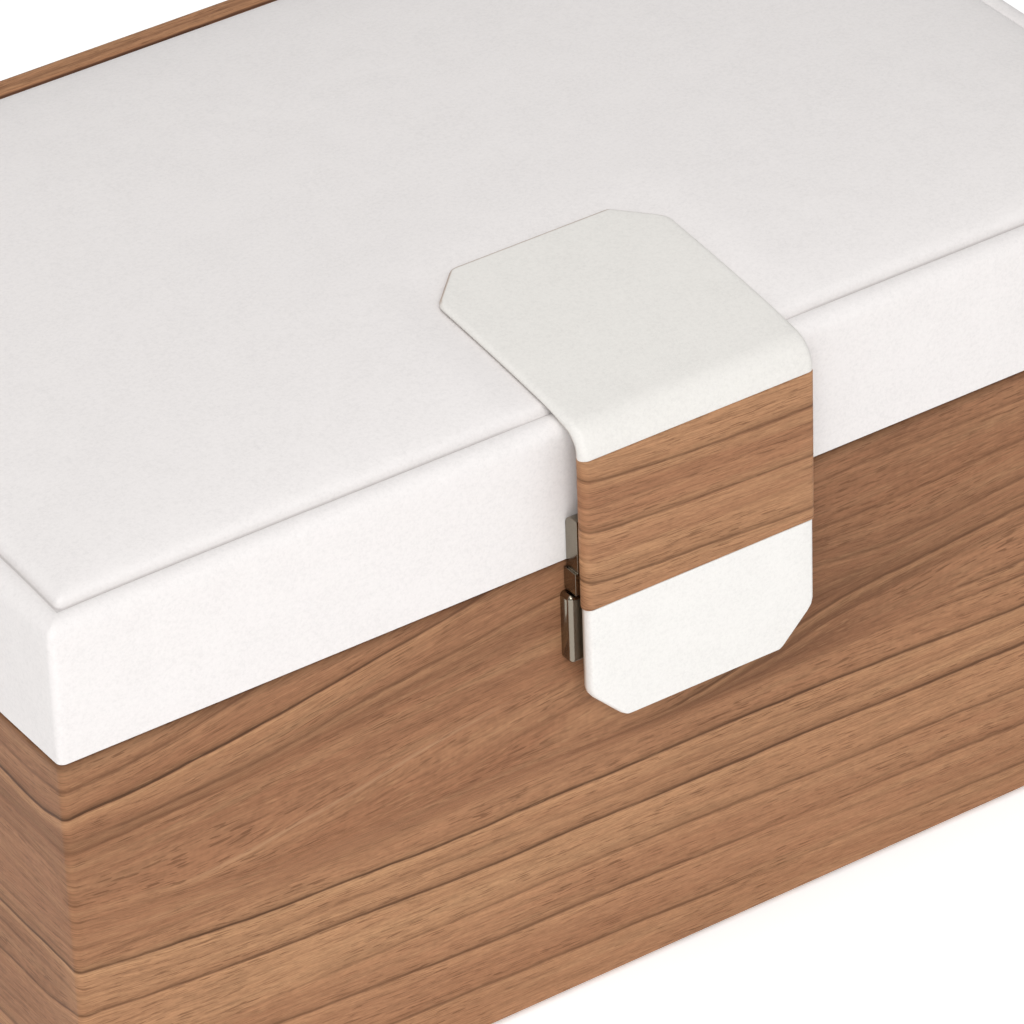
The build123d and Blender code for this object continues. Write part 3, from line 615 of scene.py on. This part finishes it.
def make_lid_wrap():
    """Leatherette round the lid's front and sides. Its border follows the pad where that draws in."""
    front = [s for s in stations(3.0, breaks=(RAIL_Y,)) if s[1] < RAIL_Y + 1e-6]
    section = lid_section()
    rings = []
    for station in front:
        pull = pull_in(*station[:2])[0 if abs(station[3]) > abs(station[2]) else 1]
        rings.append(ring_at(station, [(depth + (pull if 2.7 < depth < 4.5 and z > BORDER_Z - 1 else 0.0), z)
                                       for depth, z in section]))
    made = piece("lid_wrap", *tube(rings), "lid", "white_leatherette", ["lid_leatherette_wrap"])
    # painted shade deep in the groove between the border and the pad
    grow(made.data, PAINTED_GROOVE_SHADE, [smooth_step(BORDER_Z - z, 0.34, 0.54) if depth > 3.3 else 0.0
                             for _ in front for depth, z in section])


# the rail, measured from its front edge over the top and down the back
RAIL_LINES = growth_lines("""
    0 -3 / 0 .2 / 0 .5 .0;
    -60 .5, 0 1.2, 60 .8 / 0 .35 / 0 .6 .05;
    -60 3.1, 0 3.9, 60 3.2 / 0 .3 / 0 .4 .15;
    -60 8.0, 0 7.2, 60 8.6 / 0 .7 / 0 .5 -.1;
    -60 13.0, 0 12.0, 60 12.6 / 0 .5 / 0 .3 .1;
    -60 17.6, 0 18.4, 60 17.2 / 0 .9 / 0 .6 -.2;
    -60 25.0, 0 23.6, 60 24.4 / 0 .6 / 0 .5 .0;
    0 33 / 0 .8 / 0 .5 .1;
    0 45 / 0 .5 / 0 .5 .0
""")


def make_rail():
    """Walnut rail across the rear of the lid: flat top a little above the border, and the lid's back below it."""
    top, width, soft = BORDER_Z + RAIL_RISE, BACK - RAIL_Y, 0.25
    section = [(TURN_IN, LID_Z), (2.4, LID_Z)] + [(depth, LID_Z + rise) for depth, rise in quarter(soft)]
    section += [(0.0, z) for z in np.linspace(LID_Z + soft, top - RAIL_EDGE, 26)[1:-1]]
    section += [(depth, top - drop) for depth, drop in quarter(RAIL_EDGE, 6)[::-1]]
    section += [(width - back, top) for back in (3.2, 2.5, 1.8, 1.2, 0.8, 0.6, 0.45, 0.3, 0.18, 0.08, 0.0)]
    section += [(width, BORDER_Z - 0.3), (width, BORDER_Z - 1.2), (SKIN + 1.5, BORDER_Z - 1.2),
                (SKIN, BORDER_Z - 2.6), (SKIN, LID_Z + SKIN), (TURN_IN, LID_Z + SKIN)]
    around = stations(3.0, breaks=[RAIL_Y + back for back in (0, 0.08, 0.2, 0.4, 0.8)])
    rear = [s for s in around if s[1] > RAIL_Y - 1e-6]
    rear = [s for s in rear if s[0] > 0] + [s for s in rear if s[0] <= 0]
    rings = []
    for station in rear:
        ring = []
        for x, y, z in ring_at(station, section):
            inside = min(max(RAIL_EDGE - (y - RAIL_Y), 0.0), RAIL_EDGE)
            ring.append((x, y, min(z, top - RAIL_EDGE + math.sqrt(RAIL_EDGE**2 - inside**2))))
        rings.append(ring)
    points, faces = tube(rings)
    made = piece("lid_rail", points, faces, "lid", "walnut_decor", ["lid_walnut_spine"], sharp=50)
    spots = [(x, y - RAIL_Y - 1.0 if z > top - RAIL_EDGE else width - 1.0 + top - z) for x, y, z in points]
    # painted shade along the rail's lower front edge, where the pad's roll shades it
    figured(made, Figure(RAIL_LINES), spots, (0.2, 0.3),
            rim_shade=lambda s: 2.1 - 2.1 * smooth_step(s, -0.85, -0.60))


# ---------------------------------------------------------------- padded top
def pad_fall(x, y):
    """How far from the pad's middle to its edge a place is, along each axis."""
    return abs(x) / (PAD_SIZE[0] / 2), abs(y - PAD_Y) / (PAD_SIZE[1] / 2)


def cad_crown(x, y):
    """Height of the CAD pad above the border: two crossing arcs."""
    return PAD_EDGE + PAD_CROWN * (1 - max(pad_fall(x, y)) ** 2)


def pad_height(x, y, gap):
    """Height of the pad's skin above the border: it rolls up from the groove, crowns, and lies flat under the tab.
    Gap is the distance from the pad's edge."""
    fall_x, fall_y = pad_fall(x, y)
    free = 1.0 * (1 - math.exp(-gap / 0.7)) + 1.6 * (1 - math.exp(-gap / 7.0))
    free += 2.6 * max((1 - fall_x ** 3.2) * (1 - fall_y ** 2.6), 0.0)
    free += 0.10 * noise.noise((x / 23, y / 19, 3.1)) * smooth_step(gap, 2, 14)
    beside = abs(abs(x) - STRAP_HALF)
    reach = 1 - smooth_step(y, TAB_END_Y - 4, TAB_END_Y + 10)
    press = (1 - smooth_step(abs(x), STRAP_HALF - 2, STRAP_HALF + 7)) * reach
    free -= 0.35 * math.exp(-(beside / 5.0) ** 2) * math.exp(-gap / 7.0) * reach
    under = cad_crown(x, y) - 0.12
    return free * (1 - press) + min(free, under) * press - 0.52 * math.exp(-gap / 0.20)


def make_pad():
    """Padded top: a grid that is fine at its edge, with round corners, and a skirt down into the groove."""
    half_x, half_y = PAD_SIZE[0] / 2, PAD_SIZE[1] / 2
    edge = [0, 0.06, 0.14, 0.25, 0.4, 0.6, 0.85, 1.2, 1.6, 2.1, 2.9, 4.0, 5.6, 7.6, 10.0]
    zone, pitch = 1.5, 2.6  # size of the round corners, and of the grid inside the edge

    def spread(half):
        inner = np.linspace(edge[-1], 2 * half - edge[-1], round((2 * half - 2 * edge[-1]) / pitch) + 1)
        return [e - half for e in edge[:-1]] + list(inner - half) + [half - e for e in edge[:-1]][::-1]

    points, grid, painted_groove_shade = [], [], []
    for y in spread(half_y):
        row = []
        for x in spread(half_x):
            dx, dy = half_x - abs(x), half_y - abs(y)
            px, py = x, y
            gap = min(dx, dy)
            if dx < zone and dy < zone:
                u, v = (zone - dx) / zone, (zone - dy) / zone
                mu, mv = u * math.sqrt(1 - v * v / 2), v * math.sqrt(1 - u * u / 2)
                px = math.copysign(half_x - zone + zone * mu, x)
                py = math.copysign(half_y - zone + zone * mv, y)
                gap = zone - zone * math.hypot(mu, mv)
            row.append(len(points))
            # painted shade where the pad's edge dips into the groove, and all over the skirt below it
            painted_groove_shade.append(1 - smooth_step(gap, 0.0, 0.13))
            height = BORDER_Z + pad_height(px, py + PAD_Y, max(gap, 0.0))
            pull_y, pull_x = pull_in(px, py + PAD_Y)
            if py < 0:
                py += pull_y * (-py / half_y) ** 4
            points.append((px - math.copysign(pull_x * (abs(px) / half_x) ** 4, px), py + PAD_Y, height))
        grid.append(row)
    rim = rim_of(grid)
    low = [len(points) + i for i in range(len(rim))]
    points += [(x * 0.9975, PAD_Y + (y - PAD_Y) * 0.996, BORDER_Z - 0.54) for x, y, _ in (points[i] for i in rim)]
    made = piece("lid_pad", points, grid_faces(grid) + skirt(rim, low) + [tuple(low)], "lid", "white_leatherette",
                 ["lid_pad_cover", "lid_pad_foam", "lid_pad_board"], sharp=60)
    grow(made.data, PAINTED_GROOVE_SHADE, painted_groove_shade + [1.0] * len(low))


# ---------------------------------------------------------------- strap
def strap_path():
    """Outer face of the strap in (y, z), from the tab's rear end over the bend to the lower end, then how many points
    lie on the pad."""
    lead = FRONT + PAD_INSET + 0.4
    over = [(y, BORDER_Z + cad_crown(0, y) + 1.4) for y in np.linspace(TAB_END_Y, lead, 24)]
    slope = (over[-1][1] - over[-2][1]) / (over[-1][0] - over[-2][0])
    turn = math.pi / 2 - math.atan(slope)
    centre_z = over[-1][1] + slope * (STRAP_FRONT - lead) - STRAP_BEND * math.tan(turn / 2)
    bend = [(STRAP_FRONT + STRAP_BEND * (1 - math.cos(a)), centre_z + STRAP_BEND * math.sin(a))
            for a in np.linspace(turn, 0, 17)]
    down = [(STRAP_FRONT, z) for z in np.arange(math.floor(bend[-1][1]), STRAP_END_Z, -0.9) if z < bend[-1][1] - 0.3]
    return np.array(over + bend + down + [(STRAP_FRONT, STRAP_END_Z)]), len(over)


def distances(path):
    """Distance of each point of a path from its start."""
    return np.concatenate([[0], np.cumsum(np.hypot(*np.diff(path, axis=0).T))])


def resample(path, places):
    """Points and unit tangents on a path at distances from its start."""
    run = distances(path)
    spots, ahead, behind = (np.stack([np.interp(np.array(places) + step, run, path[:, k]) for k in (0, 1)], 1)
                            for step in (0.0, 0.25, -0.25))
    tangent = ahead - behind
    return spots, tangent / np.hypot(*tangent.T)[:, None]


def end_width(distance, chamfer, radius):
    """How far the strap's side draws in at a distance from its chamfered end, the two corners rounded."""
    if distance >= chamfer + radius:
        return 0.0
    k = radius * math.tan(math.radians(22.5))
    if distance > chamfer + k:
        return 0.0
    if distance > chamfer - k * math.cos(math.radians(45)):
        t = chamfer + k - distance
        return radius - math.sqrt(max(radius * radius - t * t, 0.0))
    low = radius - radius * math.cos(math.radians(45))
    if distance < low:
        t = radius - distance
        return chamfer + k - math.sqrt(max(radius * radius - t * t, 0.0))
    return chamfer - distance


def strap_piece(name, start, end, thick, slot, stands_for, chamfer=(0, 0), radius=2.0, proud=0.0, inset=0.0,
                round_side=1.5, core_and_shade=1.0, trim=0.0):
    """Flat strip of the strap between two distances on the path, with rounded sides. The last two arguments say how
    much of the brown core, with painted contact shade, shows on its sides and along the rim of its cut end."""
    near = [0.0, 0.12, 0.35, 0.7, 1.1, 1.6, 2.2]
    body = list(np.arange(start + near[-1], end - near[-1], 1.0))
    places = [start + n for n in near] + body[1:] + [end - n for n in near[::-1]]
    rings, core_and_contact_shade = [], []
    for place, (y, z), (ty, tz) in zip(places, *resample(strap_path()[0], places)):
        t = thick(place)
        out = (tz, -ty)
        if out[0] > 0.3 or out[1] < -0.3:
            out = (-tz, ty)
        half = STRAP_HALF - inset
        squeeze, at_end, near_end = 1.0, 0.0, 0.0
        for distance, cut in ((place - start, chamfer[0]), (end - place, chamfer[1])):
            if cut:
                half -= end_width(distance, cut, radius)
                at_end = max(at_end, 1 - smooth_step(distance, 0.25, 0.75))
                near_end = max(near_end, 1 - smooth_step(distance, cut - 1, cut + 1))
            r, least = (min(t / 2, 0.45), 0.0) if cut else (0.14, 0.88)
            if distance < r:
                squeeze *= least + (1 - least) * math.sqrt(max(1 - ((r - distance) / r) ** 2, 0.0))
        squeeze = max(squeeze, 0.04)
        r_side = min(round_side, t * 0.9)
        flat = half - r_side
        section = [(x, 1.0) for x in np.linspace(-flat, flat, 17)]
        section += [(flat + r_side * math.sin(a), math.cos(a)) for a in np.linspace(0, math.pi, 13)[1:-1]]
        section += [(-x, -side) for x, side in section]
        ring = []
        for x, side in section:
            lift = proud - t / 2 + side * (t / 2 + proud) * squeeze
            ring.append((x, y + out[0] * lift, z + out[1] * lift))
            # rear half of the sides and the rim of a cut end: brown core with painted contact shade
            beside = 1 - smooth_step(half - abs(x), 0.0, 0.5)
            brown = core_and_shade * max(beside, 1 - squeeze) * smooth_step(-side * squeeze, -0.25, 0.5)
            rim = trim * max(at_end, near_end * (1 - smooth_step(half - abs(x), 0.3, 0.75)))
            core_and_contact_shade.append(max(brown, rim))
        rings.append(ring)
    made = piece(name, *tube(rings), None, slot, stands_for, sharp=50)
    grow(made.data, CORE_AND_CONTACT_SHADE, core_and_contact_shade)
    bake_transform(made)
    return made, rings, places


# the strap's band, by height, as on the box
BAND_LINES = growth_lines("""
    0 62 / 0 .5 / 0 .4 .0;
    0 72 / 0 .8 / 0 .3 .1;
    -26 84.6, -22 83.4, -20 82.6, -10 81.9, 0 81.5, 10 80.8, 22 80.3 / 0 .7 / -20 .15 .25, 20 .2 .15;
    -26 88.4, -22 87.4, -10 86.6, 10 85.9, 22 85.4 / 0 .15 / 0 .5 .0;
    -26 94.4, -22 93.0, -20 92.2, -10 91.6, 0 91.1, 10 90.5, 22 90.0 / 0 .6 / -20 .7 -.1, 20 .7 -.05;
    -26 97.8, -20 96.8, 0 95.8, 22 95.0 / 0 .2 / 0 .85 -.15;
    -26 103.4, -22 102.2, -20 101.5, -10 100.6, 0 100, 10 99.75, 22 99.4 / 0 .65 / 0 .3 .25;
    -22 109, 22 107 / 0 .3 / 0 .4 .1;
    0 118 / 0 .3 / 0 .4 .0
""")


def make_strap():
    path, on_pad = strap_path()
    run = distances(path)
    total, over = run[-1], run[on_pad - 1]
    fold, split = total - (FOLD_Z - STRAP_END_Z), total - (BAND_Z - STRAP_END_Z)

    def tab_thick(place):
        return TAB_T + TAB_THICKENS * smooth_step(place, over - 1, over + 11)

    strap_piece("strap_top", 0.0, fold, tab_thick, "strap_leatherette", ["strap_tab"], (6.9, 0), 2.2,
                round_side=1.3, core_and_shade=0.55, trim=1.0)
    band, rings, places = strap_piece("strap_band", fold, split, lambda p: STRAP_T, "walnut_decor",
                                      ["flap_walnut_band", "flap_core"], proud=0.06, round_side=1.1)
    low, _, _ = strap_piece("strap_end", split, total, lambda p: STRAP_T, "strap_leatherette", ["flap_lower_cover"],
                            (0, 6.5), 3.0, inset=0.33, round_side=0.9)
    paint(low, "strap_end_leatherette")
    spots = [(x, FOLD_Z - (place - fold)) for place, ring in zip(places, rings) for x, _, _ in ring]
    figured(band, Figure(BAND_LINES), spots, (0.31, 0.4))


# ---------------------------------------------------------------- soft lining of tray and lid
def make_roll(width, depth, height):
    """One half of a slit cushion before its filling: a plain rounded block. Returns points and faces."""
    across = depth / 2
    shoulder = across * 0.62
    side = np.linspace(0, height - shoulder, 5)
    profile = [(-across, z) for z in side]
    profile += [(-across * math.cos(a), height - shoulder + shoulder * math.sin(a))
                for a in np.linspace(0, math.pi, 13)[1:-1]]
    profile += [(across, z) for z in side[::-1]]
    rings = []
    for x in np.linspace(-width / 2, width / 2, 19):
        end = 1 - (abs(x) / (width / 2)) ** 10 * 0.10
        rings.append([(x, y * end, z * end) for y, z in profile])
    return tube(rings)


def soften(obj, cap, pressure=4.0, frames=20, voxel=1.6):
    """Remesh, fill with cloth pressure, hold each point within cap of its start, and keep the result."""
    bpy.context.view_layer.objects.active = obj
    remesh = obj.modifiers.new("remesh", "REMESH")
    remesh.mode, remesh.voxel_size = "VOXEL", voxel * MM
    cloth = obj.modifiers.new("cloth", "CLOTH")
    settings = cloth.settings
    settings.use_pressure, settings.uniform_pressure_force = True, pressure
    settings.effector_weights.gravity = 0.0
    settings.tension_stiffness = settings.compression_stiffness = 12.0
    settings.quality = 6
    scene = bpy.context.scene
    graph = bpy.context.evaluated_depsgraph_get
    cloth.show_viewport = False
    start = bpy.data.meshes.new_from_object(obj.evaluated_get(graph()))
    cloth.show_viewport = True
    for number in range(1, frames + 1):
        scene.frame_set(number)
    filled = bpy.data.meshes.new_from_object(obj.evaluated_get(graph()))
    obj.modifiers.clear()
    scene.frame_set(1)
    before = np.array([v.co for v in start.vertices])
    after = np.array([v.co for v in filled.vertices])
    move = after - before
    size = np.linalg.norm(move, axis=1, keepdims=True)
    move *= np.minimum(1.0, cap * MM / np.maximum(size, 1e-9))
    filled.vertices.foreach_set("co", (before + move).astype(np.float32).ravel())
    obj.data = filled


def make_cushions():
    """Slit cushions of the tray's cells: one half is filled by cloth pressure, then set into each cell twice, each time
    a little different."""
    (width, depth, height), (across, along) = CUSHION, TRAY_INSIDE
    roll = piece("roll", *make_roll(width - 0.9, depth - 0.7, height))
    soften(roll, 0.9)
    shape = np.array([v.co for v in roll.data.vertices])
    shape[:, 2] = np.maximum(shape[:, 2] - shape[:, 2].min(), 0.0)
    polygons = [tuple(p.vertices) for p in roll.data.polygons]
    bpy.data.objects.remove(roll)
    points, faces = [], []
    for column, row, side in itertools.product(range(COLUMNS), range(ROWS), (-1, 1)):
        centre_x = (column - (COLUMNS - 1) / 2) * (across + WALL) / COLUMNS
        centre_y = (row - (ROWS - 1) / 2) * (along + WALL) / ROWS + side * (depth + SLIT) / 2
        first = len(points)
        for x, y, z in shape / MM:
            swell = 0.12 * noise.noise((x / 9 + column * 7, y / 7 + row * 5, z / 6 + side * 3))
            points.append((centre_x + min(max(x * (1 + 0.01 * swell), -width / 2), width / 2),
                           centre_y + min(max(y, -depth / 2), depth / 2),
                           CUSHION_Z + max(z + swell * smooth_step(z, 2, 8), 0.0)))
        faces += [tuple(first + v for v in face) for face in polygons]
    made = piece("tray_rolls", points, faces, "tray", "cream_velour", ["tray_cushions"], sharp=180)
    smooth = made.modifiers.new("smooth", "SUBSURF")
    smooth.levels = smooth.render_levels = 1


def make_lid_lining():
    """Velour-covered inner pad of the lid: a thin pillow that faces down."""
    (half_x, half_y), (low, top) = LINING_HALF, LINING_Z
    points, upper, lower = [], [], []
    for down, rows in ((False, upper), (True, lower)):
        for y in np.linspace(-half_y, half_y, 45):
            row = []
            for x in np.linspace(-half_x, half_x, 73):
                gap = min(half_x - abs(x), half_y - abs(y))
                z = top
                if down:
                    crown = (1 - (abs(x) / half_x) ** 6) * (1 - (abs(y) / half_y) ** 5)
                    z = low + 1.0 * math.exp(-gap / 1.1) + 0.55 * (1 - crown)
                    z += 0.10 * noise.noise((x / 21, y / 17, 9.0)) * smooth_step(gap, 1, 9)
                row.append(len(points))
                points.append((x, y, z))
            rows.append(row)
    faces = grid_faces(upper) + grid_faces(lower) + skirt(rim_of(upper), rim_of(lower))
    made = piece("lid_inner_pad", points, faces, "lid", "cream_velour", ["lid_lining_panel"], sharp=70)


# ---------------------------------------------------------------- the whole box
make_base_wrap()
make_lid_wrap()
make_rail()
make_pad()
make_strap()
make_cushions()
make_lid_lining()

for side in ("front", "back", "left", "right"):
    dressed(f"liner_{side}", "base", "cream_velour", 0.25)
    dressed(f"ledge_{side}", "base", "cream_velour", 0.4)
    dressed(f"tray_{side}_wall", "tray", "cream_velour", 0.25)
for node in ("base_floor_pad", "lower_divider_long", "lower_divider_cross_1", "lower_divider_cross_2"):
    dressed(node, "base", "cream_velour", 0.5, 3)
for node in ("tray_divider_long_1", "tray_divider_long_2", *(f"tray_divider_cross_{n}" for n in range(1, 5))):
    dressed(node, "tray", "cream_velour", 0.5, 3)
for node, body, slot, width, *finish in (
        ("tray_base", "tray", "cream_velour", 0.3), ("tray_lift_tabs", "tray", "strap_leatherette", 0.25, 3),
        ("lid_lining_walls", "lid", "cream_velour", 0.2), ("base_felt", "base", "brown_felt", 0.3),
        ("clasp_hasp", "flap", "nickel", 0.13, 3), ("clasp_strike", "base", "nickel", 0.08, 2, 50.0),
        ("hasp_rivets", "flap", "steel_pin", 0.15, 3),
        *((f"hinge_{body}_leaf_{side}", body, "nickel", 0.12)
          for side in ("left", "right") for body in ("base", "lid")),
        ("hinge_pins", "base", "steel_pin", 0.12), ("hinge_base_screws", "base", "steel_pin", 0.08),
        ("hinge_lid_screws", "lid", "steel_pin", 0.08)):
    dressed(node, body, slot, width, *finish)

# the CAD nodes that still show are the boards
for members in frame["record"]["behaviour"]["bodies"].values():
    for node in members:
        if not frame["nodes"][node].hide_render:
            paint(frame["nodes"][node], "fibreboard")

# ---------------------------------------------------------------- floor, light and camera
paper = Graph("floor_paper", Roughness=0.9, Specular_IOR_Level=0.1, Emission_Color=(1.0, 1.0, 1.0, 1.0),
              Emission_Strength=0.30)
paper.finish(paper.ramp(paper.noise(paper.place(), 900.0, 2.0), [(0.3, 0.955), (0.7, 0.965)]))
FLOOR_HALF = 6000.0
floor = piece("floor", [(x * FLOOR_HALF, y * FLOOR_HALF, 0) for x, y in ((-1, -1), (1, -1), (1, 1), (-1, 1))],
              [(0, 1, 2, 3)])
paint(floor, "floor_paper")

world = bpy.data.worlds.new("studio")
bpy.context.scene.world = world
world.use_nodes = True
sky = world.node_tree.nodes["Background"].inputs
sky["Color"].default_value, sky["Strength"].default_value = (1.0, 1.0, 1.0, 1.0), 0.44


def area_light(name, direction, distance, width, height, power):
    """Soft box that looks at the middle of the object from a distance in metres."""
    lamp = bpy.data.lights.new(name, "AREA")
    lamp.shape, lamp.size, lamp.size_y, lamp.energy = "RECTANGLE", width, height, power
    towards = Vector(direction).normalized()
    made = linked(name, lamp)
    made.location = Vector((0.0, 0.0, 0.06)) + towards * distance
    made.rotation_mode = "QUATERNION"
    made.rotation_quaternion = towards.to_track_quat("Z", "Y")


area_light("key", (-0.38, -0.75, 0.72), 1.2, 0.7, 0.55, 7.0)
area_light("top", (-0.25, -0.05, 1.0), 1.8, 1.2, 1.2, 9.8)

# the camera that was fitted to the photograph
lens = bpy.data.cameras.new("camera")
lens.lens, lens.sensor_width, lens.clip_start, lens.clip_end = 235.11, 36.0, 0.05, 50.0
camera = linked("camera", lens)
yaw, pitch, roll = (math.radians(a) for a in (32.976, 34.039, 2.134))
turn = Matrix.Rotation(-yaw, 4, "Z") @ Matrix.Rotation(math.pi / 2 - pitch, 4, "X") @ Matrix.Rotation(-roll, 4, "Z")
camera.location = (-0.49300, -0.78215, 0.67041)
camera.rotation_mode = "QUATERNION"
camera.rotation_quaternion = turn.to_quaternion()
bpy.context.scene.camera = camera
bpy.context.scene.view_settings.view_transform = "Standard"
